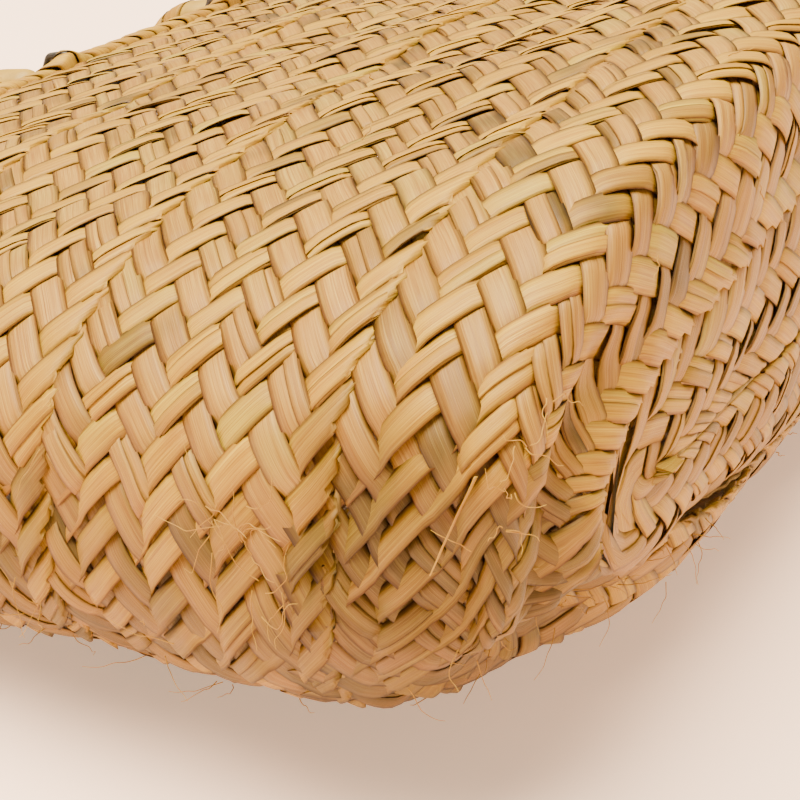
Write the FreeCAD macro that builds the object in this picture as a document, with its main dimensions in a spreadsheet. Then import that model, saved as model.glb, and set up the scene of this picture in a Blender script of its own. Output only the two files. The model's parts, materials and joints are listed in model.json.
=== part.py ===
"""Plaited palm-leaf beach basket lying on one wide side, as an assembly of separate pieces.

Millimetres, +Z up, the ground at Z = 0, X along the width of the basket, the mouth towards +Y.
The body is one long flat braid coiled into an oval and sewn edge to edge with twine.  Each turn of
the braid is a node of its own.  Two horseshoe handles swing on leather laces at the mouth.
"""
import FreeCAD, Part
import math
import os

Vector = FreeCAD.Vector

SIZES = {
    # braid and twine
    "column_pitch": 10.0,        # one visible column of plait, measured across the braid
    "core_columns": 4,           # columns of the first turn, from the centre seam outwards
    "course_columns": 8,         # columns in the full width of the braid
    "ridge_columns": 8,          # columns from the centre seam to the ridge round the base
    "braid_thick": 3.6,
    "seam_gap": 2.8,             # room between two turns for the sewing twine
    "twine_width": 2.4,
    "twine_inset": 0.6,
    # overall form
    "start_half": 196.3,         # half length of the straight centre seam of the base
    "flare": 0.013,              # how fast the narrow ends widen towards the mouth
    "wall_lean": 5.74,           # degrees that the wide sides close in towards the mouth
    "base_dome": 4.36,           # degrees of outward bulge reached at the edge of the base
    "ridge_blend": 23.4,         # length over which the base turns into the wall
    "fullness": 2.93,            # exponent of the oval section, 2 is an ellipse
    "tuck": 24.9,                # how far the lower edge of the base is pushed in
    "tuck_rise": 14.8,           # how far that edge is lifted off the ground
    "tuck_columns": 10,          # columns over which the tuck fades out
    "lie_flat": 4.0,             # depth by which the underside flattens on the ground
    "mouth_rise": 8.6,           # underside of the mouth above the ground
    "mouth_rise_length": 70.0,
    "base_y": -190.9,            # place of the ridge on the Y axis
    # rim
    "rim_below": 4.0,
    "rim_above": 5.0,
    "rim_proud": 1.2,
    "rim_cord": 2.4,
    # handles
    "foot": 60.0,                # handle foot to the middle of the basket
    "knee": 20.0,                # from a foot to where the bar bends limply down
    "knee_bend": 25.0,
    "leg": 80.0,                 # from there to the corner of the grip
    "grip_bend": 57.0,
    "handle_core": 4.0,
    "handle_wrap": 6.5,
    "core_gap": 0.1,
    "core_stop": 6.0,            # solid winding left between the hinge line and the core
    "eye": 1.8,
    "pivot_out": 7.2,            # hinge line beyond the edge of the rim
    "pivot_in": 3.6,             # hinge line inside the middle of the wall
    "upper_droop": 6.0,          # degrees below level at the feet
    "upper_hang": 60.0,          # degrees below level from the knee to the grip
    "lower_droop": 6.0,
    "lower_hang": 2.2,
    # leather laces
    "lace": 1.3,
    "lace_bend": 2.2,
    "lace_hole": 1.8,
    "knot": 3.4,
}

doc = FreeCAD.newDocument("beach_basket")
sheet = doc.addObject("Spreadsheet::Sheet", "sizes")
for row, (alias, value) in enumerate(SIZES.items(), start=1):
    sheet.set(f"A{row}", alias)
    sheet.set(f"B{row}", str(value))
    sheet.setAlias(f"B{row}", alias)
doc.recompute()


def size(alias):
    """A driving dimension as the sheet holds it."""
    return float(getattr(sheet, alias))


COLUMN = size("column_pitch")
RIDGE = size("ridge_columns") * COLUMN
CORE = size("core_columns") * COLUMN
COURSE = size("course_columns") * COLUMN
COURSES = 4
MOUTH = CORE + COURSES * COURSE - size("rim_above")
PROFILE_STEP = 0.5
SECTION_POINTS = 36
OVAL_STEPS = 720
CLIP_UNDER = 0.3


# ---------------------------------------------------------------- form of the body

def make_profile():
    """Radius, height and slope of the shell against the length run out from the centre seam."""
    table = [(0.0, 0.0, 0.0)]
    radius = height = 0.0
    steps = int((MOUTH + 20.0) / PROFILE_STEP)
    for step in range(1, steps + 1):
        run = (step - 0.5) * PROFILE_STEP
        turned = 1.0 / (1.0 + math.exp(-4.0 * (run - RIDGE) / size("ridge_blend")))
        base_slope = math.radians(size("base_dome")) * min(run / RIDGE, 1.0)
        wall_slope = math.radians(90.0 + size("wall_lean"))
        slope = base_slope * (1.0 - turned) + wall_slope * turned
        radius += math.cos(slope) * PROFILE_STEP
        height += math.sin(slope) * PROFILE_STEP
        table.append((radius, height, slope))
    ridge_height = table[int(RIDGE / PROFILE_STEP)][1]
    return [(r, h - ridge_height, slope) for r, h, slope in table]


PROFILE = make_profile()
WIDEST = max(entry[0] for entry in PROFILE)


def profile_at(run):
    place = run / PROFILE_STEP
    low = min(int(place), len(PROFILE) - 2)
    share = place - low
    return [a + (b - a) * share for a, b in zip(PROFILE[low], PROFILE[low + 1])]


def smooth(share):
    share = min(max(share, 0.0), 1.0)
    return share * share * (3.0 - 2.0 * share)


def ground_sink(run):
    """How far the underside is pressed below the ground line; negative where it is raised."""
    press = size("lie_flat") * smooth((run - RIDGE) / 60.0)
    mouth = smooth((run - MOUTH + size("mouth_rise_length")) / size("mouth_rise_length"))
    return press * (1.0 - mouth) - size("mouth_rise") * mouth


def oval(half_width, half_height, power):
    """Points of a full oval, evenly spaced along its length, starting at the top."""
    dense = []
    for step in range(OVAL_STEPS + 1):
        angle = 0.5 * math.pi + 2.0 * math.pi * step / OVAL_STEPS
        c, s = math.cos(angle), math.sin(angle)
        dense.append((half_width * math.copysign(abs(c) ** (2.0 / power), c),
                      half_height * math.copysign(abs(s) ** (2.0 / power), s)))
    lengths = [0.0]
    for a, b in zip(dense, dense[1:]):
        lengths.append(lengths[-1] + math.dist(a, b))
    points = []
    place = 0
    for index in range(SECTION_POINTS):
        target = lengths[-1] * index / SECTION_POINTS
        while lengths[place + 1] < target:
            place += 1
        share = (target - lengths[place]) / (lengths[place + 1] - lengths[place])
        a, b = dense[place], dense[place + 1]
        points.append((a[0] + (b[0] - a[0]) * share, a[1] + (b[1] - a[1]) * share))
    return points


def section(run, inset):
    """The closed outline of the shell at one profile length, moved inwards by inset."""
    radius, height, slope = profile_at(run)
    radius -= inset * math.sin(slope)
    height += inset * math.cos(slope)
    sink = ground_sink(run)
    half_height = max(radius + 0.5 * sink, 0.4)
    half_width = size("start_half") + size("flare") * max(0.0, height + 20.0) + radius
    power = 2.0 + (size("fullness") - 2.0) * min(1.0, run / RIDGE)
    outer_radius = profile_at(run)[0]
    settle = min(1.0, max(0.0, (run - RIDGE) / 50.0))
    middle = WIDEST * (1.0 - settle) + outer_radius * settle - 0.5 * sink
    fade = 1.0 - smooth((run - RIDGE) / (size("tuck_columns") * COLUMN))
    points = []
    for x, z in oval(half_width, half_height, power):
        low = min(max(-z / WIDEST, 0.0), 1.0) ** 2 * fade
        y = size("base_y") + height + size("tuck") * low
        z = max(middle + z + size("tuck_rise") * low, inset - CLIP_UNDER)
        points.append(Vector(x, y, z))
    return points


def section_wire(run, inset):
    curve = Part.BSplineCurve()
    curve.interpolate(Points=section(run, inset), PeriodicFlag=True)
    return Part.Wire([curve.toShape()])


def stations(start, end, count):
    return [start + (end - start) * index / (count - 1) for index in range(count)]


def sewn_solid(faces):
    shell = Part.makeShell([face for part in faces for face in part.Faces])
    shell.sewShape()
    solid = Part.makeSolid(shell)
    if solid.Volume < 0:
        solid.reverse()
    return solid


def band(start, end, outer, inner, count):
    """A ring of the shell between two profile lengths and two insets, open inside."""
    outside = [section_wire(run, outer) for run in stations(start, end, count)]
    inside = [section_wire(run, inner) for run in stations(start, end, count)]
    faces = [Part.makeLoft(outside, False, False), Part.makeLoft(inside, False, False)]
    for edge in (0, -1):
        faces.append(Part.makeLoft([outside[edge], inside[edge]], False, True))
    return above_ground(sewn_solid(faces))


def channel(corners):
    """A ring whose section is a polygon of (profile length, inset) corners."""
    wires = [section_wire(run, inset) for run, inset in corners]
    faces = [Part.makeLoft([a, b], False, True) for a, b in zip(wires, wires[1:] + wires[:1])]
    return sewn_solid(faces)


def above_ground(solid):
    """The solid with its flattened underside cut level with the ground."""
    if solid.BoundBox.ZMin > -0.5 * CLIP_UNDER:
        return solid
    reach = 800.0
    ground = Part.makeBox(2 * reach, 2 * reach, 20.0, Vector(-reach, -reach, -20.0))
    return solid.cut(ground)


# ---------------------------------------------------------------- nodes

nodes = []


def feature(label, shape):
    """A sub-part whose shape has no simpler form than its own surfaces."""
    piece = doc.addObject("Part::Feature", label)
    piece.Label = label
    piece.Shape = shape
    piece.Placement = FreeCAD.Placement()
    nodes.append(piece)
    return piece


SIDES = {"upper": 1, "lower": -1}
FEET = {"left": -1, "right": 1}


def mouth_frame(side):
    """Frame at the rim's edge: X along the rim, Y out along the wall, Z to the outside."""
    def middle_of_wall(run):
        point = max(section(run, 0.5 * size("braid_thick")), key=lambda p: side * p.z)
        return Vector(0, point.y, point.z)
    edge = middle_of_wall(MOUTH + size("rim_above"))
    along = (edge - middle_of_wall(MOUTH - 12.0)).normalize()
    outward = Vector(1, 0, 0).cross(along) * side
    return edge, along, outward


def in_mouth_frame(side, x, out, up):
    edge, along, outward = mouth_frame(side)
    return edge + Vector(x, 0, 0) + along * out + outward * up


def hinge_point(side):
    return in_mouth_frame(side, 0.0, size("pivot_out"), -size("pivot_in"))


def lace_points(foot, hand, side):
    """Corners of a lace: from its knot, through the handle, over the rim and back inside."""
    beside, near = 11.0 * hand, -9.5 * hand
    corners = [(3.6 * hand, -15.0, -5.8), (beside, -6.0, -5.6),
               (beside, size("pivot_out"), -size("pivot_in")),
               (near, size("pivot_out"), -size("pivot_in")),
               (near, 1.6, 4.6), (near, -7.0, 4.6), (near, -7.0, -5.6),
               (0.4 * hand, -15.0, -5.8)]
    return [in_mouth_frame(side, foot + x, out, up) for x, out, up in corners]


def lace_holes():
    """Bars that pierce the mouth of the basket where the laces go through it."""
    bars = []
    for side in SIDES.values():
        for hand in FEET.values():
            outside, inside = lace_points(hand * size("foot"), hand, side)[5:7]
            bars.append(Part.makeCylinder(size("lace_hole"), 10.6, outside, inside - outside))
    return bars


def make_braid():
    """The turns of the braid, from the centre seam of the base out to the mouth."""
    thick = size("braid_thick")
    gap = 0.5 * size("seam_gap")
    feature("base_start_braid", band(gap, CORE - gap, 0.0, thick, 5))
    for index in range(COURSES):
        start = CORE + index * COURSE + gap
        last = index == COURSES - 1
        end = MOUTH if last else CORE + (index + 1) * COURSE - gap
        turn = band(start, end, 0.0, thick, 9)
        if last:
            turn = turn.cut(lace_holes())
        feature(f"braid_turn_{index + 1}", turn)


def make_seams():
    """The twine that sews each turn to the next, hidden between their edges."""
    inset = size("twine_inset")
    half = 0.5 * size("twine_width")
    inner = size("braid_thick") - inset
    for index in range(COURSES):
        middle = CORE + index * COURSE
        feature(f"seam_twine_{index + 1}", band(middle - half, middle + half, inset, inner, 2))
    centre = doc.addObject("Part::Box", "centre_seam_twine")
    centre.Label = "centre_seam_twine"
    centre.setExpression("Length", "1.2 * sizes.start_half")
    centre.setExpression("Width", "sizes.braid_thick - 2 * sizes.twine_inset")
    centre.setExpression("Height", "sizes.seam_gap - 1.2")
    slot = [point.z for point in section(0.5 * size("seam_gap"), 0.0)]
    middle = 0.5 * (min(slot) + max(slot))
    base_height = profile_at(0.0)[1]
    centre.Placement.Base = Vector(-0.6 * size("start_half"), size("base_y") + base_height + inset,
                                   middle - 0.5 * (size("seam_gap") - 1.2))
    nodes.append(centre)


def make_rim():
    """A cord laid along the mouth and the leaf that is wound over it and the braid's edge."""
    thick = size("braid_thick")
    cord_top = MOUTH + 0.2 + size("rim_cord")
    feature("rim_cord", band(MOUTH + 0.2, cord_top, 0.2, thick - 0.2, 2))
    low, high, proud = size("rim_below"), size("rim_above"), size("rim_proud")
    winding = channel([
        (MOUTH - low, -proud), (MOUTH + high, -proud),
        (MOUTH + high, thick + proud), (MOUTH - low, thick + proud),
        (MOUTH - low, thick + 0.1), (cord_top + 0.2, thick + 0.1),
        (cord_top + 0.2, -0.1), (MOUTH - low, -0.1)])
    feature("rim_winding", winding.cut(lace_holes()))


def rounded_path(points, radii):
    """Straight runs through the points, joined by tangent arcs."""
    edges = []
    here = points[0]
    for before, corner, after, radius in zip(points, points[1:], points[2:], radii):
        back = (before - corner).normalize()
        ahead = (after - corner).normalize()
        turn = math.pi - back.getAngle(ahead)
        reach = radius * math.tan(0.5 * turn)
        bisector = (back + ahead).normalize()
        middle = corner + bisector * (radius / math.cos(0.5 * turn) - radius)
        start, end = corner + back * reach, corner + ahead * reach
        edges.append(Part.LineSegment(here, start).toShape())
        edges.append(Part.Arc(start, middle, end).toShape())
        here = end
    edges.append(Part.LineSegment(here, points[-1]).toShape())
    return Part.Wire(edges)


def bar(name, side, trim, radius):
    """Round bar of a handle as it hangs from its hinge, shortened by trim at both ends."""
    def fall(angle):
        return Vector(0, math.cos(math.radians(angle)), -math.sin(math.radians(angle)))
    foot = hinge_point(side) + Vector(size("foot"), 0, 0)
    droop, hang = fall(size(f"{name}_droop")), fall(size(f"{name}_hang"))
    knee = foot + droop * size("knee")
    half = [foot + droop * trim, knee, knee + hang * size("leg")]
    corners = half + [Vector(-p.x, p.y, p.z) for p in reversed(half)]
    bends = [size("knee_bend"), size("grip_bend"), size("grip_bend"), size("knee_bend")]
    start = Part.Wire([Part.makeCircle(radius, corners[0], droop)])
    return rounded_path(corners, bends).makePipeShell([start], True, True)


def make_handle(name, side):
    """A rope core in a leaf winding with rounded ends, each crossed by an eye for its lace."""
    gap = size("core_gap")
    feature(f"{name}_handle_core", bar(name, side, size("core_stop"), size("handle_core")))
    skin = bar(name, side, 0.0, size("handle_wrap"))
    holes = [bar(name, side, size("core_stop") - gap, size("handle_core") + gap)]
    reach = Vector(2 * size("handle_wrap"), 0, 0)
    for hand in FEET.values():
        foot = hinge_point(side) + Vector(hand * size("foot"), 0, 0)
        skin = skin.fuse(Part.makeSphere(size("handle_wrap"), foot))
        holes.append(Part.makeCylinder(size("eye"), 2 * reach.x, foot - reach, Vector(1, 0, 0)))
    feature(f"{name}_handle_winding", skin.cut(holes))


def make_lace(label, hand, side):
    """A leather lace tied inside, passed through a handle's eye, over the rim and back in."""
    points = lace_points(size("foot"), 1, side)
    path = rounded_path(points, [size("lace_bend")] * (len(points) - 2))
    start = Part.Wire([Part.makeCircle(size("lace"), points[0], points[1] - points[0])])
    cord = path.makePipeShell([start], True, True)
    tied = cord.fuse(Part.makeSphere(size("knot"), 0.5 * (points[0] + points[-1])))
    feature(label, tied if hand > 0 else tied.mirror(Vector(0, 0, 0), Vector(1, 0, 0)))
    volume = math.pi * size("lace") ** 2 * path.Length
    print(f"{label}: cord {cord.Volume:.0f} mm3, section times length {volume:.0f} mm3,"
          f" length {path.Length:.0f} mm")


make_braid()
make_seams()
make_rim()
for side_name, side_sign in SIDES.items():
    make_handle(side_name, side_sign)
    for foot_name, foot_hand in FEET.items():
        make_lace(f"{side_name}_{foot_name}_lace", foot_hand, side_sign)
doc.recompute()


# ---------------------------------------------------------------- checks and files

def check_document():
    for piece in doc.Objects:
        bad = [state for state in piece.State if state in ("Invalid", "Error")]
        if bad:
            raise RuntimeError(f"{piece.Name} is {bad}")
    for piece in nodes:
        if piece.Shape.isNull() or not piece.Shape.isValid() or piece.Shape.Volume <= 0:
            raise RuntimeError(f"{piece.Label} has no valid shape")


def write_nodes():
    os.makedirs("parts", exist_ok=True)
    whole = FreeCAD.BoundBox()
    for piece in nodes:
        piece.Shape.exportStep(f"parts/{piece.Label}.step")
        whole.add(piece.Shape.BoundBox)
        print(f"{piece.Label}: {len(piece.Shape.Solids)} solid, {piece.Shape.Volume:.0f} mm3")
    print("box", whole)
    for name, side in SIDES.items():
        print(f"{name} hinge line passes through {hinge_point(side)}")


check_document()
write_nodes()
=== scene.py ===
import json
import math

import bpy
import numpy as np
from mathutils import Matrix, Vector


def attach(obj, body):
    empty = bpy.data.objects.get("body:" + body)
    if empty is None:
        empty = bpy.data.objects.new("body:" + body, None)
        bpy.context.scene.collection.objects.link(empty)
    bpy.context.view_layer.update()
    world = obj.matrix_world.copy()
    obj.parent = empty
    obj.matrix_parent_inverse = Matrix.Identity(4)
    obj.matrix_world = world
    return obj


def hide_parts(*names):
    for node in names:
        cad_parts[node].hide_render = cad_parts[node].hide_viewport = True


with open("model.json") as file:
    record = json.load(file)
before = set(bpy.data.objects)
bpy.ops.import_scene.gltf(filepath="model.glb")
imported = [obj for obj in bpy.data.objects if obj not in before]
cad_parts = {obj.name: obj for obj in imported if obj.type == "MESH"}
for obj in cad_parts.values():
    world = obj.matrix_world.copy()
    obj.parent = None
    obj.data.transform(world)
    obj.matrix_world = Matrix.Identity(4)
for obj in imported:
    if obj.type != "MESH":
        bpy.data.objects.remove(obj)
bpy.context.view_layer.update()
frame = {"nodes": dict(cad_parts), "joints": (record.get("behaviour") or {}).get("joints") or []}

# ------------------------------------------------------------------ form of the body
# Millimetres and degrees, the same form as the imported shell. A place on it is a run, the length
# along the profile from the centre seam of the base out to the mouth, and a share of the loop
# at that run.
COLUMN = 10.0               # one visible column of plait across the braid
RIDGE = 80.0                # run of the ridge between the base and the wall
START_HALF = 196.3          # half the length of the centre seam
BASE_Y = -190.9             # where the ridge lies
WALL_LEAN = 5.74            # the wall closes in by this angle towards the mouth
BASE_DOME = 4.36            # the base bulges outward by this angle
RIDGE_BLEND = 23.4          # length over which base turns into wall
FULLNESS = 2.93             # power of the oval outline beyond the ridge
FLARE = 0.013               # extra half width for each millimetre of height
TUCK = 24.9                 # the ridge is pushed in this far where the basket lies on it,
TUCK_RISE = 14.8            # and up this far,
TUCK_COLUMNS = 10.0         # fading out over this many columns of the wall
LIE_FLAT = 4.0              # the lower wall is pressed flat by this much
MOUTH_RISE = 8.6            # underside of the mouth above the ground,
MOUTH_RISE_LENGTH = 70.0    # reached over this length
MOUTH = 355.0               # run where the shell of the last turn of braid ends
EDGE = 360.0                # run where the rim's winding ends
PROFILE_STEP = 0.25
PROFILE_END = 400.0
LIE_FLAT_LENGTH = 60.0
SETTLE_LENGTH = 50.0        # beyond the ridge, the wall comes to lie on the ground over this length
FLARE_START = -20.0         # height from which it flares


def smooth(x):
    """0 to 1 with an easy start and end."""
    x = np.clip(x, 0.0, 1.0)
    return x * x * (3.0 - 2.0 * x)


def profile_table():
    """Runs along the profile, with the radius and the height above the ridge at each."""
    run = np.arange(0.0, PROFILE_END, PROFILE_STEP)
    middle = run + 0.5 * PROFILE_STEP
    turned = 1.0 / (1.0 + np.exp(-4.0 * (middle - RIDGE) / RIDGE_BLEND))
    slope = (math.radians(BASE_DOME) * np.clip(middle / RIDGE, 0, 1) * (1 - turned)
             + math.radians(90.0 + WALL_LEAN) * turned)
    radius = np.concatenate([[0.0], np.cumsum(np.cos(slope) * PROFILE_STEP)[:-1]])
    height = np.concatenate([[0.0], np.cumsum(np.sin(slope) * PROFILE_STEP)[:-1]])
    return run, radius, height - np.interp(RIDGE, run, height)


RUNS, RADII, HEIGHTS = profile_table()
WIDEST = RADII.max()


def section(run, count=1440):
    """Outline of the shell at one run, evenly spaced along itself, and its length."""
    radius = float(np.interp(run, RUNS, RADII))
    height = float(np.interp(run, RUNS, HEIGHTS))
    press = LIE_FLAT * smooth((run - RIDGE) / LIE_FLAT_LENGTH)
    mouth = smooth((run - MOUTH + MOUTH_RISE_LENGTH) / MOUTH_RISE_LENGTH)
    sink = press * (1.0 - mouth) - MOUTH_RISE * mouth
    half_height = max(radius + 0.5 * sink, 0.4)
    half_width = START_HALF + FLARE * max(0.0, height - FLARE_START) + radius
    power = 2.0 + (FULLNESS - 2.0) * min(1.0, run / RIDGE)
    settle = min(1.0, max(0.0, (run - RIDGE) / SETTLE_LENGTH))
    middle = WIDEST * (1.0 - settle) + radius * settle - 0.5 * sink
    angle = np.linspace(0.5 * math.pi, 2.5 * math.pi, 4 * count + 1)
    c, s = np.cos(angle), np.sin(angle)
    x = half_width * np.sign(c) * np.abs(c) ** (2.0 / power)
    z = half_height * np.sign(s) * np.abs(s) ** (2.0 / power)
    low = np.clip(-z / WIDEST, 0, 1) ** 2 * (1 - smooth((run - RIDGE) / (TUCK_COLUMNS * COLUMN)))
    points = np.stack([x, BASE_Y + height + TUCK * low,
                       np.maximum(middle + z + TUCK_RISE * low, 0.0)], axis=1)
    lengths = np.concatenate([[0.0], np.cumsum(np.linalg.norm(np.diff(points, axis=0), axis=1))])
    target = np.linspace(0.0, lengths[-1], count, endpoint=False)
    even = np.stack([np.interp(target, lengths, points[:, k]) for k in range(3)], axis=1)
    return even, lengths[-1]


def unit(v):
    """Vectors made one long."""
    return v / np.maximum(np.linalg.norm(v, axis=-1, keepdims=True), 1e-9)


def sway(points):
    """Slow unevenness of the pliable wall, in millimetres, the same wherever it is asked."""
    p = points * (2 * math.pi)
    return (0.9 * np.sin(p[..., 0] / 173 + p[..., 1] / 91 + 1.3)
            + 0.7 * np.sin(p[..., 0] / 67 - p[..., 2] / 83 + 0.4)
            + 0.6 * np.sin(p[..., 1] / 59 + p[..., 2] / 47 + 2.1))


def window(value, low, high, soft):
    """1 between low and high, easing to 0 over soft beyond them."""
    return smooth((value - low + soft) / soft) * smooth((high + soft - value) / soft)


GROOVE_DEPTH = 8.0          # of a fold in the base, beside the ridge
HOLLOW_DEPTH = 4.0          # of a dent in the wall, beside the ridge
TUCKED_DEPTH = 21.0         # of the lower corner, pushed in where the basket lies on it


def crease(share, run):
    """How far the crushed corner of the base is pushed in, in millimetres."""
    end = share % 1.0
    fold = 58.0 + 40.0 * (end - 0.23)
    groove = window(end, 0.200, 0.262, 0.030) * np.exp(-((run - fold) / 8.5) ** 2)
    hollow = window(end, 0.246, 0.258, 0.020) * np.exp(-((run - 84.0) / 14.0) ** 2)
    corner = 0.302 - 0.0006 * (run - 72.0)
    tucked = np.exp(-((end - corner) / 0.034) ** 2 - ((run - 72.0) / 27.0) ** 2)
    return GROOVE_DEPTH * groove + HOLLOW_DEPTH * hollow + TUCKED_DEPTH * tucked


GROUND_CLEARANCE = 0.1      # leaf pressed on the ground stays this far above it,
GROUND_SOFTNESS = 1.9       # and is flattened over this height above that


class Turn:
    """One turn of braid: a map from (share of the loop, run, lift) to space."""
    STEPS = 512

    def __init__(self, start, end, step=2.5):
        middle = 0.5 * (start + end)
        self.low, self.high = start, end
        self.runs = np.arange(max(start - step, 0.6), end + 1.5 * step, step)
        centre = int(np.argmin(np.abs(self.runs - middle)))
        rings = [section(run) for run in self.runs]
        line, self.length = section(self.runs[centre], self.STEPS)
        grid = [None] * len(self.runs)
        grid[centre] = line
        for order in (range(centre + 1, len(self.runs)), range(centre - 1, -1, -1)):
            here = line
            for index in order:
                here = self.nearest(rings[index][0], here)
                grid[index] = here
        self.grid = np.array(grid)
        along = np.roll(self.grid, -1, axis=1) - np.roll(self.grid, 1, axis=1)
        across = np.gradient(self.grid, axis=0)
        normal = unit(np.cross(across, along))
        centre_line = np.array([0.0, -60.0, 80.0])
        flip = np.sign(np.sum(normal * (self.grid - centre_line), axis=2).mean())
        self.normal = normal * flip

    @staticmethod
    def nearest(ring, points):
        """The nearest points of a closed outline."""
        gaps = ((ring[None, :, :] - points[:, None, :]) ** 2).sum(axis=2)
        best = gaps.argmin(axis=1)
        result = ring[best]
        found = gaps[np.arange(len(points)), best]
        for side in (-1, 1):
            other = ring[(best + side) % len(ring)]
            edge = other - ring[best]
            share = np.clip(np.sum((points - ring[best]) * edge, axis=1)
                            / np.maximum(np.sum(edge * edge, axis=1), 1e-9), 0, 1)
            trial = ring[best] + edge * share[:, None]
            gap = np.sum((trial - points) ** 2, axis=1)
            better = gap < found
            result = np.where(better[:, None], trial, result)
            found = np.where(better, gap, found)
        return result

    def place(self, share, run, lift):
        """Points at a share of the loop and a run, lifted along the outward normal."""
        a = (share % 1.0) * self.STEPS
        a0 = np.floor(a).astype(int)
        fa = (a - a0)[..., None]
        a0 %= self.STEPS
        a1 = (a0 + 1) % self.STEPS
        b = np.clip((run - self.runs[0]) / (self.runs[1] - self.runs[0]), 0, len(self.runs) - 1.001)
        b0 = np.floor(b).astype(int)
        fb = (b - b0)[..., None]

        def blend(table):
            return ((table[b0, a0] * (1 - fa) + table[b0, a1] * fa) * (1 - fb)
                    + (table[b0 + 1, a0] * (1 - fa) + table[b0 + 1, a1] * fa) * fb)

        base = blend(self.grid)
        normal = unit(blend(self.normal))
        free = 1.0 - 0.9 * smooth((run - 290.0) / 55.0)
        give = (sway(base) - 0.8) * free - crease(share, run)
        points = base + normal * (lift + give)[..., None]
        top = GROUND_CLEARANCE + GROUND_SOFTNESS
        low = np.minimum(points[..., 2], top)
        flattened = GROUND_CLEARANCE + GROUND_SOFTNESS * np.exp((low - top) / GROUND_SOFTNESS)
        points[..., 2] += flattened - low
        return points


# ------------------------------------------------------------------ meshes

def mesh_object(name, points, faces, leaf=None, tone=None, rounded=True):
    """A mesh in metres from millimetre points, with the leaf attributes that the shader reads."""
    mesh = bpy.data.meshes.new(name)
    mesh.from_pydata((points * 0.001).tolist(), [], faces)
    for label, values in (("leaf", leaf), ("tone", tone)):
        if values is not None:
            layer = mesh.attributes.new(label, "FLOAT_VECTOR", "POINT")
            layer.data.foreach_set("vector", np.ascontiguousarray(values, np.float32).ravel())
    flags = np.broadcast_to(np.array(rounded, bool), len(mesh.polygons))
    mesh.polygons.foreach_set("use_smooth", np.ascontiguousarray(flags))
    mesh.update()
    obj = bpy.data.objects.new(name, mesh)
    bpy.context.scene.collection.objects.link(obj)
    return obj


# the sides of a strip's section that are shaded round: its broad upper ones, not its cut edges
SECTION_ROUND = [True, True, True, False, False, False]


class Bundle:
    """Many closed ribbons or tubes gathered into one mesh."""

    def __init__(self):
        self.points, self.faces, self.leaf, self.tone, self.rounded = [], [], [], [], []
        self.total = 0

    def add(self, rings, leaf, tone, closed=False):
        """rings: strips x steps x corners x 3. Each strip becomes a closed tube of its rings."""
        strips, steps, corners = rings.shape[:3]
        index = (np.arange(strips * steps * corners).reshape(strips, steps, corners)
                 + self.total)
        a = index[:, :-1] if not closed else index
        b = index[:, 1:] if not closed else np.roll(index, -1, axis=1)
        quads = np.stack([a, np.roll(a, -1, axis=2), np.roll(b, -1, axis=2), b], axis=-1)
        self.faces += quads.reshape(-1, 4).tolist()
        pattern = SECTION_ROUND if corners == len(SECTION_ROUND) else [True] * corners
        self.rounded += pattern * (quads.size // 4 // corners)
        if not closed:
            self.faces += index[:, 0, ::-1].tolist()
            self.faces += index[:, -1].tolist()
            self.rounded += [False] * (2 * strips)
        self.points.append(rings.reshape(-1, 3))
        self.leaf.append(np.broadcast_to(leaf, rings.shape).reshape(-1, 3))
        self.tone.append(np.broadcast_to(tone, rings.shape).reshape(-1, 3))
        self.total += strips * steps * corners

    def build(self, name):
        return mesh_object(name, np.concatenate(self.points), self.faces,
                           np.concatenate(self.leaf), np.concatenate(self.tone), self.rounded)


# ------------------------------------------------------------------ the plait

# Heights are in millimetres from the outer face of the braid; places along a strip in columns.
SECTION_E = np.array([-0.50, -0.20, 0.20, 0.50, 0.40, -0.40])   # corners across a strip
SECTION_TOP = np.array([1, 1, 1, 1, 0, 0])                      # 1 on its upper side
TOP_STEPS = [0.0, 0.13, 0.28, 0.43, 0.57, 0.72, 0.87]
UNDER_STEPS = [0.0, 0.2, 0.5, 0.8]
HALF_WAVE = 0.74            # strips run this far above and below the middle of the braid
MIDDLE = -1.75              # the middle of the braid
SHARPNESS = 2.7             # how suddenly a strip dives under its neighbours
LEAF_THICK = 0.42
CROWN = 0.20                # a strip's middle stands this much above its edges
STRIP_LENGTH = 14.7         # length of strip in one column
CROSSING = 0.25             # place in a column where strips of one number cross
ROLL = 0.9                  # radius at which a strip turns over at the braid's edge
SLIP_UNDER = 0.34           # a turn reaches this far under the next one, in columns
REACH_OVER = 0.17           # and the next one's scallops this far over it
DOUBLED = 0.36              # share of the floats that carry a second leaflet
CALM_FROM = 150.0           # from this run on the strips lie flatter


def steps_between(start, end, top_first):
    """Places along a strip in columns, closer together where it lies on top."""
    places = []
    column = math.floor(start) - 1
    while column <= end:
        on_top = (column % 2 == 0) == top_first
        for share in (TOP_STEPS if on_top else UNDER_STEPS):
            if start < column + share < end:
                places.append(column + share)
        column += 1
    return np.array([start] + places + [end])


def per_float(table, place):
    """Values given per column, eased from one column's middle to the next's."""
    x = np.clip(place - 0.5, 0, table.shape[1] - 1.001)
    low = np.floor(x).astype(int)
    share = smooth(x - low)
    return table[:, low] * (1 - share) + table[:, low + 1] * share


def wave_rise(wave):
    """A wave from -1 to 1 with flat tops and quick crossings."""
    return np.tanh(SHARPNESS * wave) / math.tanh(SHARPNESS)


def paint_shade_where_loose(tone, loose):
    """Painted shade where the plait is loose: its tint numbers move to the dark end, so the crushed
    corner and the lower front come out darker.
    """
    tone[..., 0] *= (1 - 0.75 * loose)[:, :, None]
    tone[..., 2] *= (1 - 0.85 * loose)[:, :, None]


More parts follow.
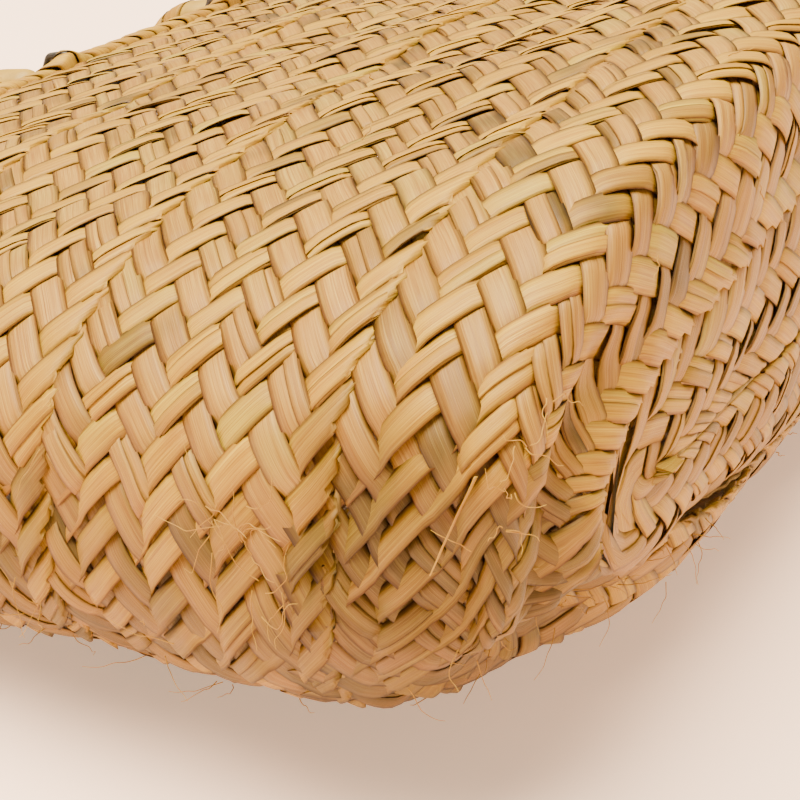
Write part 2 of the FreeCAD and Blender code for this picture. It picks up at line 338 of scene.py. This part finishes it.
def weave_turn(name, first, end_column, count, seed):
    """One turn of 2-over-2 twill plait between two columns."""
    draw = np.random.default_rng(seed)
    columns = math.ceil(end_column) - first
    turn = Turn(first * COLUMN, end_column * COLUMN)
    bundle = Bundle()
    for family in (1, -1):                  # 1 rises with the loop, -1 falls
        top_offset = 0.5 if family > 0 else 1.5
        start = first - 1.05 if family > 0 else first + 0.08
        end = end_column - 0.08 if family > 0 else end_column + 1.15
        place = steps_between(start, end, family > 0)
        local = place - (first - 1)
        shape = (count, columns + 3)
        shift = per_float(draw.normal(0, 0.03, shape), local)
        loose = looseness(np.arange(count)[:, None] + family * place[None, :], place, count)
        calm = 1 - 0.45 * window(place[None, :] * COLUMN, CALM_FROM, PROFILE_END, 60)
        tilt = per_float(draw.normal(0.12, 0.29, shape), local) * calm
        tilt = tilt * (1 + 1.4 * loose) + 1.1 * loose
        lift = per_float(draw.normal(0, 0.16, shape), local) * (1 + 2.2 * loose)
        lift = lift + 0.3 * family * loose
        wide = per_float(draw.normal(1.07, 0.045, shape), local) * draw.normal(1, 0.03, (count, 1))
        wave = np.cos(math.pi * (place - top_offset))
        if family > 0:
            wave = np.where(place < first + 0.5, 1.0, wave)
            wave = np.where(place > end_column - 0.5, -1.0, wave)
        else:
            wave = np.where(place < first + 0.5, -1.0, wave)
            wave = np.where(place > end_column - 0.5, 1.0, wave)
        rise = wave_rise(wave)
        number = np.arange(count)[:, None, None]
        t = place[None, :, None]
        wide = wide * (1 + 0.20 * np.clip(-rise, 0, 1))[None, :] * (1 - 0.24 * loose)
        e = SECTION_E[None, None, :] * wide[:, :, None]
        loop = number + family * (t - CROSSING) + 0.5 * e + shift[:, :, None]
        column = t - family * 0.5 * e
        crown = CROWN * (1 - (2 * SECTION_E) ** 2)
        height = (MIDDLE + HALF_WAVE * rise[None, :, None] + lift[:, :, None]
                  + crown[None, None, :] + 2 * tilt[:, :, None] * e
                  + np.where(SECTION_TOP, 0.5, -0.5)[None, None, :] * LEAF_THICK)
        column, height = roll_edges(column, height, first, end_column, e)
        rings = turn.place(loop / count, column * COLUMN, height)
        leaf, tone = leaf_values(draw, count, place, family)
        # painted shade: the tints of loose strips move to the dark end
        paint_shade_where_loose(tone, loose)
        bundle.add(rings, leaf, tone)
        add_leaflets(bundle, turn, draw, family, first, end_column, count,
                     shift, tilt, lift, loose, place)
    piece = bundle.build(name + "_plait")
    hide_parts(name)
    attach(piece, "bag")
    return piece


def looseness(loop, place, count):
    """Where the plait has worked loose and its floats stand up like scales, 0 to 1; the same number
    sets where shade is painted into the leaf's tint.
    """
    share = (loop / count) % 1.0
    run = place * COLUMN
    corner = window(share, 0.243, 0.300, 0.03) * window(run, 56, 118, 20)
    under = window(share, 0.254, 0.33, 0.02) * window(run, 50, 300, 20)
    return np.clip(corner + 0.70 * under, 0, 1)


def roll_edges(column, height, first, end_column, across):
    """Turns whatever passes an edge of the braid over into its underside, in a row of scallops."""
    bulge = np.cos(math.pi * np.clip(across * 1.9, -1, 1))
    under = SLIP_UNDER if end_column % 4 == 0 else 0.0      # the last turn ends at the rim
    over = REACH_OVER if first > 0 else 0.04                # the first one starts at the seam
    height = height - 2.4 * under * smooth((column - end_column + 0.45) / 0.6)
    for sign, edge, reach_out in ((1, first, over), (-1, end_column + under, 0.07)):
        edge = edge - sign * (reach_out * bulge + 0.25 * reach_out)
        reach = (edge + sign * 0.1 * ROLL - column) * sign * COLUMN
        bent = np.clip(reach, 0, math.pi * ROLL)
        rolled = edge + sign * 0.1 * (ROLL - ROLL * np.sin(bent / ROLL)
                                      + np.clip(reach - math.pi * ROLL, 0, None))
        inside = reach > 0
        column = np.where(inside, rolled, column)
        height = np.where(inside, height - ROLL * (1 - np.cos(bent / ROLL)), height)
    return column, height


def shader_values(shape, across, along, own, strip, family, patch):
    """The leaf and tone numbers that the shader reads, one set for each point of the rings.

    leaf: across the strip, along it, roughly in millimetres, and a number of its own for its fibres.
    tone: the strip's tint, 1 for the lighter side of the leaf, and the tint of the patch.
    """
    leaf, tone = np.zeros(shape), np.zeros(shape)
    for index, value in enumerate((across, along, own)):
        leaf[..., index] = value
    for index, value in enumerate((strip, family, patch)):
        tone[..., index] = value
    return leaf, tone


def leaf_values(draw, strips, place, family):
    """The shader's numbers for the strips of one direction of the plait."""
    own = draw.uniform(0, 100, (strips, 1, 1))
    strip = draw.uniform(0, 1, (strips, 1, 1))
    table = draw.uniform(0, 1, (strips, int(place[-1]) + 4))
    return shader_values((strips, len(place), len(SECTION_E), 3),
                         SECTION_E + 0.5, (place * STRIP_LENGTH)[None, :, None], own,
                         strip, 0.5 + 0.5 * family, per_float(table, place + 1.0)[:, :, None])


def add_leaflets(bundle, turn, draw, family, first, end_column, count,
                 shift, tilt, lift, loose, place):
    """A second, narrower leaflet lying on some of the floats."""
    top_offset = 0.5 if family > 0 else 1.5
    local = np.array([-0.60, -0.44, -0.25, -0.08, 0.08, 0.25, 0.44, 0.60])
    for column in range(first, int(math.floor(end_column))):
        if (column % 2 == 0) != (family > 0):
            continue
        chosen = np.nonzero(draw.uniform(size=count) < DOUBLED)[0]
        middle = column + 0.5
        t = middle + local
        if column == first:
            t = np.clip(t, first - 0.25, None)
        strips = len(chosen)
        width = draw.uniform(0.42, 0.72, (strips, 1, 1))
        side = np.sign(draw.uniform(-1, 1, (strips, 1, 1))) * (0.5 - 0.5 * width - 0.02)
        skew = draw.normal(0, 0.05, (strips, 1, 1))
        e = SECTION_E[None, None, :] * width + side + skew * local[None, :, None]
        rise = wave_rise(np.cos(math.pi * (t - top_offset)))
        near = np.abs(place[None, :] - t[:, None]).argmin(axis=1)
        loop = (chosen[:, None, None] + family * (t[None, :, None] - CROSSING) + 0.5 * e
                + shift[chosen][:, near][:, :, None])
        across = t[None, :, None] - family * 0.5 * e
        height = (MIDDLE + HALF_WAVE * rise[None, :, None] + lift[chosen][:, near][:, :, None]
                  + 2 * tilt[chosen][:, near][:, :, None] * e
                  + CROWN * (1 - (2 * e) ** 2) + 0.5 * LEAF_THICK
                  + np.where(SECTION_TOP, 0.30, -0.05)[None, None, :])
        across, height = roll_edges(across, height, first, end_column, e)
        rings = turn.place(loop / count, across * COLUMN, height)
        leaf, tone = leaf_values(draw, strips, t, family)
        # painted shade: the tints of loose leaflets move to the dark end
        paint_shade_where_loose(tone, loose[chosen][:, near])
        bundle.add(rings, leaf, tone)


# ------------------------------------------------------------------ rim

WRAPS = 120
WRAP_STEPS = 26
WRAP_LOW, WRAP_HIGH = -8.2, -1.4        # the runs that a wrap spans, from EDGE
WRAP_INNER, WRAP_OUTER = -4.6, 0.6      # its inner and outer side, from the outer face
WRAP_SQUARENESS = 0.72                  # power of its rounded outline
FOOT = 60.0                             # half the distance between the feet of a handle
LACE_INSET = 9.5                        # a lace crosses the rim this far inside the foot
LACE_ROOM = 3.2                         # wraps are lifted this much over a lace


def wind_rim():
    """Leaf wound over the edge of the mouth, one broad wrap beside the next."""
    draw = np.random.default_rng(5)
    turn = Turn(290.0, EDGE)
    count = WRAPS
    around = np.linspace(0, 1, WRAP_STEPS, endpoint=False)
    cos, sin = np.cos(2 * math.pi * around), np.sin(2 * math.pi * around)
    centre = np.array([0.5 * (WRAP_LOW + WRAP_HIGH), 0.5 * (WRAP_INNER + WRAP_OUTER)])
    half = np.array([0.5 * (WRAP_HIGH - WRAP_LOW), 0.5 * (WRAP_OUTER - WRAP_INNER)])
    outline = np.stack([np.sign(cos) * np.abs(cos) ** WRAP_SQUARENESS,
                        np.sign(sin) * np.abs(sin) ** WRAP_SQUARENESS], axis=1) * half
    normal = unit(outline * [0.5, 1.0])
    outline = centre + outline
    number = np.arange(count)[:, None, None]
    wide = draw.normal(1.08, 0.07, (count, 1, 1))
    e = SECTION_E[None, None, :] * wide
    slant = 0.34 * np.cos(2 * math.pi * around)[None, :, None] + draw.normal(0, 0.05, (count, 1, 1))
    loop = number + e + slant + draw.normal(0, 0.05, (count, 1, 1))
    bulge = (0.75 * (1 - (2 * SECTION_E) ** 2)[None, None, :] + draw.normal(0.1, 0.22, (count, 1, 1))
             + 0.5 * e * draw.normal(0.8, 0.5, (count, 1, 1))
             + np.where(SECTION_TOP, 0.3, -0.3)[None, None, :])
    past = outline[None, :, None, 0] + normal[None, :, None, 0] * bulge
    lift = outline[None, :, None, 1] + normal[None, :, None, 1] * bulge
    flat = turn.place(loop / count, EDGE + past, lift)
    by_lace = np.exp(-((np.abs(flat[..., 0]) - FOOT + LACE_INSET) / 4.5) ** 2)
    lift = lift + LACE_ROOM * by_lace * smooth((lift + 1.5) / 1.5) * smooth((-past - 0.5) / 2.0)
    rings = turn.place(loop / count, EDGE + past, lift)
    own, strip, patch = (draw.uniform(0, most, (count, 1, 1)) for most in (100, 1, 1))
    leaf, tone = shader_values(rings.shape, SECTION_E + 0.5, (around * 26.0)[None, :, None], own,
                               strip, 1.0, patch)
    bundle = Bundle()
    bundle.add(rings, leaf, tone, closed=True)
    piece = bundle.build("rim_wraps")
    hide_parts("rim_winding")
    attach(piece, "bag")
    return piece


# ------------------------------------------------------------------ handles

KNEE = 20.0                 # from the foot to the knee of the bar
KNEE_BEND = 25.0            # radius of the bend there
LEG = 80.0                  # from the knee to the top of the grip
GRIP_BEND = 57.0            # radius of the grip's two corners
WIND_RADIUS = 6.35          # the leaf's ends sink into the bar at this radius
WIND_PITCH = 9.0            # the leaf moves on this far at each turn round the bar
WIND_STEPS = 24             # rings of the ribbon for each turn
WIND_MARGIN = 6.0           # bare bar left at each end
RIBBON_E = np.array([-0.5, -0.2, 0.2, 0.5, 0.42, -0.42])            # corners across the ribbon
RIBBON_LIFT = np.array([0.16, 0.36, 0.44, 0.50, 0.18, -0.05])       # and their lift


def handle_line(hinge, droop, hang):
    """Points, directions and upward normals along the bar of a handle, and their distances."""
    def fall(angle):
        """The direction out of the mouth, tipped down by an angle."""
        return np.array([0.0, math.cos(angle), -math.sin(angle)])

    across = np.array([1.0, 0.0, 0.0])
    foot = np.array(hinge) * 1000.0 - FOOT * across
    first, second = fall(droop), fall(hang)
    turn = abs(hang - droop)
    reach = KNEE_BEND * math.tan(0.5 * turn)
    samples = [(foot + first * d, first, droop) for d in np.linspace(0, KNEE - reach, 8)]
    knee = foot + first * KNEE
    bent = knee - first * reach
    for share in np.linspace(0, 1, 14)[1:]:
        angle = droop + (hang - droop) * share
        middle = droop + 0.5 * (hang - droop) * share
        chord = 2 * KNEE_BEND * math.sin(0.5 * turn * share)
        samples.append((bent + fall(middle) * chord, fall(angle), angle))
    straight = LEG - GRIP_BEND
    for d in np.linspace(reach, straight, 8)[1:]:
        samples.append((knee + second * d, second, hang))
    centre = knee + second * straight + across * GRIP_BEND
    for angle in np.linspace(0, 0.5 * math.pi, 30)[1:]:
        samples.append((centre - across * GRIP_BEND * math.cos(angle)
                        + second * GRIP_BEND * math.sin(angle),
                        across * math.sin(angle) + second * math.cos(angle), hang))
    points = np.array([p for p, _, _ in samples])
    ways = np.array([w for _, w, _ in samples])
    above = np.array([[0.0, math.sin(a), math.cos(a)] for _, _, a in samples])
    mirror = np.array([-1.0, 1.0, 1.0])
    points = np.concatenate([points, points[::-1] * mirror])
    ways = np.concatenate([ways, ways[::-1] * -mirror])
    above = np.concatenate([above, above[::-1]])
    distance = np.concatenate([[0.0], np.cumsum(np.linalg.norm(np.diff(points, axis=0), axis=1))])
    return points, ways, above, distance


def wind_handle(side, hinge, droop, hang, own):
    """A broad leaf wound round the bar of a handle in an overlapping spiral.

    The bar leaves its hinge drooping by one angle and hangs by the other beyond its knee.
    """
    points, ways, above, distance = handle_line(hinge, math.radians(droop), math.radians(hang))

    def along(table, place):
        """The table's rows at distances along the bar."""
        return np.stack([np.interp(place, distance, table[:, k]) for k in range(3)], axis=-1)

    start, end = WIND_MARGIN, distance[-1] - WIND_MARGIN
    turns = (end - start) / WIND_PITCH
    place = np.linspace(start, end, int(turns * WIND_STEPS))
    angle = 2 * math.pi * (place - start) / WIND_PITCH
    ease = smooth((place - start) / 6.0) * smooth((end - place) / 6.0)
    wobble = 0.07 * np.sin(place * 0.7) + 0.06 * np.sin(place * 0.23 + 1)
    spot = place[:, None] + RIBBON_E[None, :] * WIND_PITCH * 1.06
    radius = WIND_RADIUS + (RIBBON_LIFT[None, :] + wobble[:, None]) * ease[:, None]
    up = unit(along(above, spot))
    aside = unit(np.cross(along(ways, spot), up))
    out = (aside * np.cos(angle)[:, None, None] + up * np.sin(angle)[:, None, None])
    rings = (along(points, spot) + out * radius[..., None])[None]
    leaf, tone = shader_values(rings.shape, RIBBON_E + 0.5, (angle * 6.5)[None, :, None], own,
                               0.35, 1.0, (0.5 + 0.3 * np.sin(angle * 0.21))[None, :, None])
    bundle = Bundle()
    bundle.add(rings, leaf, tone)
    piece = bundle.build(side + "_handle_leaf")
    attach(piece, side + "_handle")
    return piece


# ------------------------------------------------------------------ sewing

TWINE_CORNER = 2 * math.pi * np.arange(6) / 6
TWINE_RADIUS = 0.8
STITCH_STEP = 2.4           # a quarter of a stitch
STITCH_DEPTH = 2.5          # below the outer face
CENTRE_RADIUS = 0.7         # of the twine in the seam of the base,
CENTRE_DEPTH = 2.6          # which lies this far in
CENTRE_STEPS = 60


def build_stitch(name, rings, closed):
    """The twine of one seam, in place of its plain CAD band."""
    bundle = Bundle()
    bundle.add(rings, np.zeros(rings.shape), np.zeros(rings.shape), closed)
    piece = bundle.build(name + "_stitch")
    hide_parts(name)
    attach(piece, "bag")
    return piece


def sew_seam(name, run):
    """The twine between two turns, sunk between their edges."""
    turn = Turn(run - 6.0, run + 6.0)
    count = int(turn.length / STITCH_STEP)
    share = np.arange(count) / count
    weave = 0.35 * np.sin(2 * math.pi * np.arange(count) * 0.25)
    runs = run + TWINE_RADIUS * np.cos(TWINE_CORNER)[None, :] + 0 * share[:, None]
    lift = -STITCH_DEPTH + weave[:, None] + TWINE_RADIUS * np.sin(TWINE_CORNER)[None, :]
    rings = turn.place(np.broadcast_to(share[:, None], runs.shape), runs, lift)[None]
    return build_stitch(name, rings, closed=True)


def sew_centre(name):
    """The straight stitch along the middle of the base."""
    middle = section(1.4)[0]
    height = 0.5 * (middle[:, 2].max() + middle[:, 2].min())
    depth = float(middle[:, 1].mean()) + CENTRE_DEPTH
    along = np.linspace(-START_HALF + 1, START_HALF - 1, CENTRE_STEPS)
    rings = np.zeros((1, CENTRE_STEPS, len(TWINE_CORNER), 3))
    rings[..., 0] = along[None, :, None]
    rings[..., 1] = depth + CENTRE_RADIUS * np.cos(TWINE_CORNER)
    rings[..., 2] = height + CENTRE_RADIUS * np.sin(TWINE_CORNER)
    return build_stitch(name, rings, closed=False)


# ------------------------------------------------------------------ loose fibres

def fibre(bundle, points, radius, flat=1.0):
    """A thin tube through the points; flat below 1 makes it a sliver of leaf."""
    fine = np.linspace(0, len(points) - 1, 5 * len(points))
    line = np.stack([np.interp(fine, np.arange(len(points)), points[:, k]) for k in range(3)], axis=1)
    for _ in range(4):
        line[1:-1] = 0.25 * line[:-2] + 0.5 * line[1:-1] + 0.25 * line[2:]
    way = unit(np.gradient(line, axis=0))
    side = unit(np.cross(way, np.array([0.31, 0.48, 0.82])))
    other = np.cross(way, side)
    corner = 2 * math.pi * np.arange(5) / 5
    taper = radius * (1.0 - 0.6 * np.linspace(0, 1, len(line)))[:, None, None]
    rings = (line[:, None, :] + taper * (np.cos(corner)[None, :, None] * side[:, None, :]
                                         + flat * np.sin(corner)[None, :, None] * other[:, None, :]))
    leaf, tone = shader_values((1,) + rings.shape, 0.5, np.arange(len(line))[None, :, None], 0.0,
                               0.55, 0.55, 0.55)
    bundle.add(rings[None], leaf, tone)


def loose_fibres():
    """Frayed hairs, curls and slivers that stand out of the plait."""
    draw = np.random.default_rng(77)
    bundle = Bundle()
    turns = {1: Turn(40, 120), 2: Turn(120, 200), 3: Turn(200, 280), 4: Turn(280, 340)}

    def strand(which, share, run, length, height, curl, radius, flat=1.0, heading=None):
        """One fibre that starts on the plait and rises off it, curling as it goes."""
        turn = turns[which]
        steps = 7
        angle = draw.uniform(0, 2 * math.pi) if heading is None else heading
        bend = draw.normal(0, curl, steps).cumsum()
        step = length / steps
        loops = share + (np.cos(angle + bend) * step).cumsum() / turn.length
        runs = np.clip(run + (np.sin(angle + bend) * step).cumsum(), turn.low, turn.high)
        rise = 0.6 + height * np.linspace(0, 1, steps) ** 0.8 + draw.normal(0, 0.3, steps)
        fibre(bundle, turn.place(loops, runs, rise), radius, flat)

    # one long stiff sliver, then tufts where leaflets are torn, frays underneath, stray hairs
    strand(1, 0.2285, 85.0, 27.0, 4.0, 0.03, 0.75, 0.25, heading=0.35)
    for share, run in ((0.241, 146), (0.246, 141), (0.248, 138)):
        for _ in range(7):
            strand(2, share + draw.normal(0, 0.003), run + draw.normal(0, 4), draw.uniform(8, 22),
                   draw.uniform(1, 4), 0.5, 0.14)
    for share, run in ((0.216, 74), (0.225, 78), (0.241, 78), (0.233, 78)):
        for _ in range(3):
            strand(1, share, run, draw.uniform(6, 14), draw.uniform(2, 5), 0.9, 0.16)
    for which, share, run, count in ((3, 0.268, 208, 9), (3, 0.275, 240, 5), (2, 0.285, 170, 7),
                                     (1, 0.350, 50, 12), (1, 0.30, 85, 8), (1, 0.33, 62, 8)):
        for _ in range(count):
            strand(which, share + draw.normal(0, 0.012), run + draw.normal(0, 7),
                   draw.uniform(7, 18), draw.uniform(3, 9), 0.3, 0.13)
    for _ in range(90):
        which = int(draw.integers(1, 5))
        run = draw.uniform(turns[which].low + 5, turns[which].high - 5)
        strand(which, draw.uniform(0, 1), run, draw.uniform(5, 14), draw.uniform(0.8, 3.5), 0.4,
               draw.uniform(0.10, 0.2))
    piece = bundle.build("loose_fibres")
    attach(piece, "bag")
    return piece


# ------------------------------------------------------------------ looks

def leaf_material(name):
    """Dry palm leaf: long fibres, darker edges, and a tint of its own for each strip."""
    material = bpy.data.materials.new(name)
    material.use_nodes = True
    tree = material.node_tree
    nodes, links = tree.nodes, tree.links
    nodes.clear()

    def node(kind, **settings):
        made = nodes.new(kind)
        for key, value in settings.items():
            setattr(made, key, value)
        return made

    def link(value, socket):
        if isinstance(value, bpy.types.NodeSocket):
            links.new(value, socket)
        else:
            socket.default_value = value

    def math_node(operation, a, b=0.0):
        made = node("ShaderNodeMath", operation=operation)
        link(a, made.inputs[0])
        link(b, made.inputs[1])
        return made.outputs[0]

    def vector(x, y, z):
        made = node("ShaderNodeCombineXYZ")
        for value, socket in zip((x, y, z), made.inputs):
            link(value, socket)
        return made.outputs[0]

    def noise(place, detail=2.0, rough=0.5):
        made = node("ShaderNodeTexNoise")
        links.new(place, made.inputs["Vector"])
        made.inputs["Scale"].default_value = 1.0
        made.inputs["Detail"].default_value = detail
        made.inputs["Roughness"].default_value = rough
        return made.outputs["Fac"]

    def ramp(value, *stops):
        made = node("ShaderNodeValToRGB")
        links.new(value, made.inputs[0])
        band = made.color_ramp
        while len(band.elements) < len(stops):
            band.elements.new(0.5)
        for element, (at, colour) in zip(band.elements, stops):
            element.position = at
            element.color = (*colour, 1.0)
        return made.outputs[0]

    def mix(kind, amount, a, b):
        made = node("ShaderNodeMix", data_type="RGBA", blend_type=kind)
        link(amount, made.inputs[0])
        link(a, made.inputs[6])
        link(b, made.inputs[7])
        return made.outputs[2]

    def remap(value, a, b, c, d):
        """The value's stretch from a to b becomes c to d."""
        made = node("ShaderNodeMapRange")
        links.new(value, made.inputs[0])
        for socket, setting in zip(list(made.inputs)[1:5], (a, b, c, d)):
            socket.default_value = setting
        return made.outputs[0]

    leaf = node("ShaderNodeSeparateXYZ")
    links.new(node("ShaderNodeAttribute", attribute_name="leaf").outputs["Vector"], leaf.inputs[0])
    tone = node("ShaderNodeSeparateXYZ")
    links.new(node("ShaderNodeAttribute", attribute_name="tone").outputs["Vector"], tone.inputs[0])
    across, along, own = leaf.outputs
    strip, family, patch = tone.outputs

    def grain(across_scale, along_scale, offset, *settings):
        """Noise drawn out along the strip."""
        return noise(vector(math_node("MULTIPLY", across, across_scale),
                            math_node("MULTIPLY", along, along_scale),
                            math_node("ADD", own, offset)), *settings)

    fine = grain(26.0, 0.05, 0.0, 3.0, 0.6)
    thread = grain(70.0, 0.03, 11.0)
    broad = grain(4.5, 0.035, 31.0)
    slow = grain(0.8, 0.06, 57.0)

    tint = math_node("ADD", math_node("MULTIPLY", strip, 0.55), math_node("MULTIPLY", patch, 0.45))
    light = ramp(tint, (0.08, (0.150, 0.094, 0.008)), (0.30, (0.39, 0.230, 0.014)),
                 (0.62, (0.48, 0.295, 0.022)), (0.92, (0.41, 0.300, 0.026)))
    dull = ramp(tint, (0.08, (0.115, 0.070, 0.012)), (0.35, (0.31, 0.176, 0.026)),
                (0.65, (0.40, 0.232, 0.042)), (0.92, (0.36, 0.255, 0.040)))
    base = mix("MIX", family, dull, light)
    base = mix("MIX", math_node("MULTIPLY", ramp(slow, (0.42, (0, 0, 0)), (0.72, (1, 1, 1))), 0.45),
               base, (0.36, 0.18, 0.04, 1))
    base = mix("MULTIPLY", remap(fine, 0.35, 0.75, 0.85, 0.0), base, (0.62, 0.46, 0.28, 1))
    base = mix("MULTIPLY", remap(broad, 0.50, 0.68, 0.0, 0.40), base, (0.70, 0.52, 0.36, 1))
    base = mix("MULTIPLY", remap(thread, 0.54, 0.70, 0.0, 0.8), base, (0.55, 0.38, 0.24, 1))
    base = mix("SCREEN", remap(fine, 0.55, 0.85, 0.0, 0.25), base, (0.20, 0.14, 0.03, 1))
    rim = math_node("ABSOLUTE", math_node("SUBTRACT", across, 0.5))
    edge = remap(rim, 0.42, 0.50, 0.0, 0.95)
    base = mix("MULTIPLY", edge, base, (0.42, 0.24, 0.12, 1))

    shader = node("ShaderNodeBsdfPrincipled")
    links.new(base, shader.inputs["Base Color"])
    links.new(remap(broad, 0.3, 0.7, 0.56, 0.42), shader.inputs["Roughness"])
    shader.inputs["Specular IOR Level"].default_value = 0.27
    bump = node("ShaderNodeBump")
    bump.inputs["Strength"].default_value = 0.35
    bump.inputs["Distance"].default_value = 0.0004
    height = math_node("ADD", math_node("ADD", fine, math_node("MULTIPLY", thread, 0.4)), broad)
    links.new(height, bump.inputs["Height"])
    links.new(bump.outputs[0], shader.inputs["Normal"])
    output = node("ShaderNodeOutputMaterial")
    links.new(shader.outputs[0], output.inputs[0])
    return material


def plain_material(name, dark, light, roughness, scale):
    """A colour that varies between two tones, with a fine bump."""
    material = bpy.data.materials.new(name)
    material.use_nodes = True
    nodes, links = material.node_tree.nodes, material.node_tree.links
    shader = nodes["Principled BSDF"]
    place = nodes.new("ShaderNodeTexCoord")
    noise = nodes.new("ShaderNodeTexNoise")
    noise.inputs["Scale"].default_value = scale
    noise.inputs["Detail"].default_value = 4.0
    links.new(place.outputs["Object"], noise.inputs["Vector"])
    band = nodes.new("ShaderNodeValToRGB")
    band.color_ramp.elements[0].position = 0.35
    band.color_ramp.elements[0].color = (*dark, 1)
    band.color_ramp.elements[1].position = 0.68
    band.color_ramp.elements[1].color = (*light, 1)
    links.new(noise.outputs["Fac"], band.inputs[0])
    links.new(band.outputs[0], shader.inputs["Base Color"])
    shader.inputs["Roughness"].default_value = roughness
    bump = nodes.new("ShaderNodeBump")
    bump.inputs["Strength"].default_value = 0.3
    bump.inputs["Distance"].default_value = 0.0005
    links.new(noise.outputs["Fac"], bump.inputs["Height"])
    links.new(bump.outputs[0], shader.inputs["Normal"])
    return material


def paint(obj, material):
    """Gives an object one material."""
    obj.data.materials.clear()
    obj.data.materials.append(material)


# ------------------------------------------------------------------ build

# name, first column, last column, strips in each direction, seed
TURNS = [("base_start_braid", 0, 4, 74, 11), ("braid_turn_1", 4, 12, 99, 12),
         ("braid_turn_2", 12, 20, 100, 13), ("braid_turn_3", 20, 28, 97, 14),
         ("braid_turn_4", 28, 35.6, 93, 15)]

straw = leaf_material("palm_leaf")
plain = plain_material("plain_leaf", (0.27, 0.155, 0.012), (0.40, 0.24, 0.020), 0.5, 90)
twine = plain_material("twine", (0.16, 0.09, 0.015), (0.28, 0.17, 0.035), 0.8, 400)
rope = plain_material("rope", (0.22, 0.13, 0.03), (0.34, 0.21, 0.06), 0.85, 300)
leather = plain_material("leather", (0.010, 0.008, 0.010), (0.032, 0.022, 0.020), 0.45, 500)

hinges = {joint["child"]: joint["pos_m"] for joint in frame["joints"]}
leafwork = [weave_turn(*turn) for turn in TURNS]
leafwork.append(wind_rim())
leafwork.append(loose_fibres())
leafwork.append(wind_handle("upper", hinges["upper_handle"], 6.0, 60.0, 21.0))
leafwork.append(wind_handle("lower", hinges["lower_handle"], 6.0, 2.2, 28.0))
for piece in leafwork:
    paint(piece, straw)
for index, (_, _, last_column, _, _) in enumerate(TURNS[:-1]):
    paint(sew_seam(f"seam_twine_{index + 1}", last_column * COLUMN), twine)
paint(sew_centre("centre_seam_twine"), twine)
for node_name, node_object in frame["nodes"].items():
    if node_name.endswith("_lace"):
        paint(node_object, leather)
    elif "twine" in node_name:
        paint(node_object, twine)
    elif node_name.endswith("_core") or node_name == "rim_cord":
        paint(node_object, rope)
    else:
        paint(node_object, plain)

# ------------------------------------------------------------------ ground, light, camera

FLOOR_REACH = 6000.0
FLOOR_HEIGHT = -0.3

floor_material = bpy.data.materials.new("pale_ground")
floor_material.use_nodes = True
floor_shader = floor_material.node_tree.nodes["Principled BSDF"]
floor_shader.inputs["Base Color"].default_value = (0.95, 0.68, 0.60, 1)
floor_shader.inputs["Emission Color"].default_value = (1.0, 0.74, 0.50, 1)
floor_shader.inputs["Emission Strength"].default_value = 0.6
floor_shader.inputs["Roughness"].default_value = 0.8
floor_shader.inputs["Specular IOR Level"].default_value = 0.1
corners = np.array([(-1, -1), (1, -1), (1, 1), (-1, 1)]) * FLOOR_REACH
floor = mesh_object("ground", np.column_stack([corners, np.full(4, FLOOR_HEIGHT)]), [(0, 1, 2, 3)])
paint(floor, floor_material)

world = bpy.data.worlds.new("room")
bpy.context.scene.world = world
world.use_nodes = True
background = world.node_tree.nodes["Background"]
background.inputs["Color"].default_value = (1.0, 0.86, 0.60, 1)
background.inputs["Strength"].default_value = 0.85


def area_light(name, place, aim, size, power, colour):
    """A square light at a place, turned to face its aim."""
    data = bpy.data.lights.new(name, "AREA")
    data.size = size
    data.energy = power
    data.color = colour
    light = bpy.data.objects.new(name, data)
    light.location = place
    light.rotation_euler = (Vector(aim) - Vector(place)).to_track_quat("-Z", "Y").to_euler()
    bpy.context.scene.collection.objects.link(light)


area_light("window", (-0.55, 0.35, 3.2), (0, -0.05, 0.05), 3.4, 720, (1.0, 0.91, 0.64))

CAMERA_PLACE = Vector((-0.59052, -0.153184 + 0.001 * BASE_Y, 0.277251))
YAW, PITCH, ROLL_ANGLE = (math.radians(angle) for angle in (28.96, 23.309, -1.463))

camera_data = bpy.data.cameras.new("camera")
camera_data.lens = 90.373
camera_data.sensor_width = 36.0
camera_data.clip_start = 0.01
camera_data.clip_end = 30.0
camera = bpy.data.objects.new("camera", camera_data)
forward = Vector((math.cos(PITCH) * math.cos(YAW), math.cos(PITCH) * math.sin(YAW), -math.sin(PITCH)))
level = Vector((math.sin(YAW), -math.cos(YAW), 0))
upright = level.cross(forward)
right = level * math.cos(ROLL_ANGLE) + upright * math.sin(ROLL_ANGLE)
up = -level * math.sin(ROLL_ANGLE) + upright * math.cos(ROLL_ANGLE)
rotation = Matrix((right, up, -forward)).transposed()
camera.matrix_world = Matrix.Translation(CAMERA_PLACE) @ rotation.to_4x4()
bpy.context.scene.collection.objects.link(camera)
bpy.context.scene.camera = camera
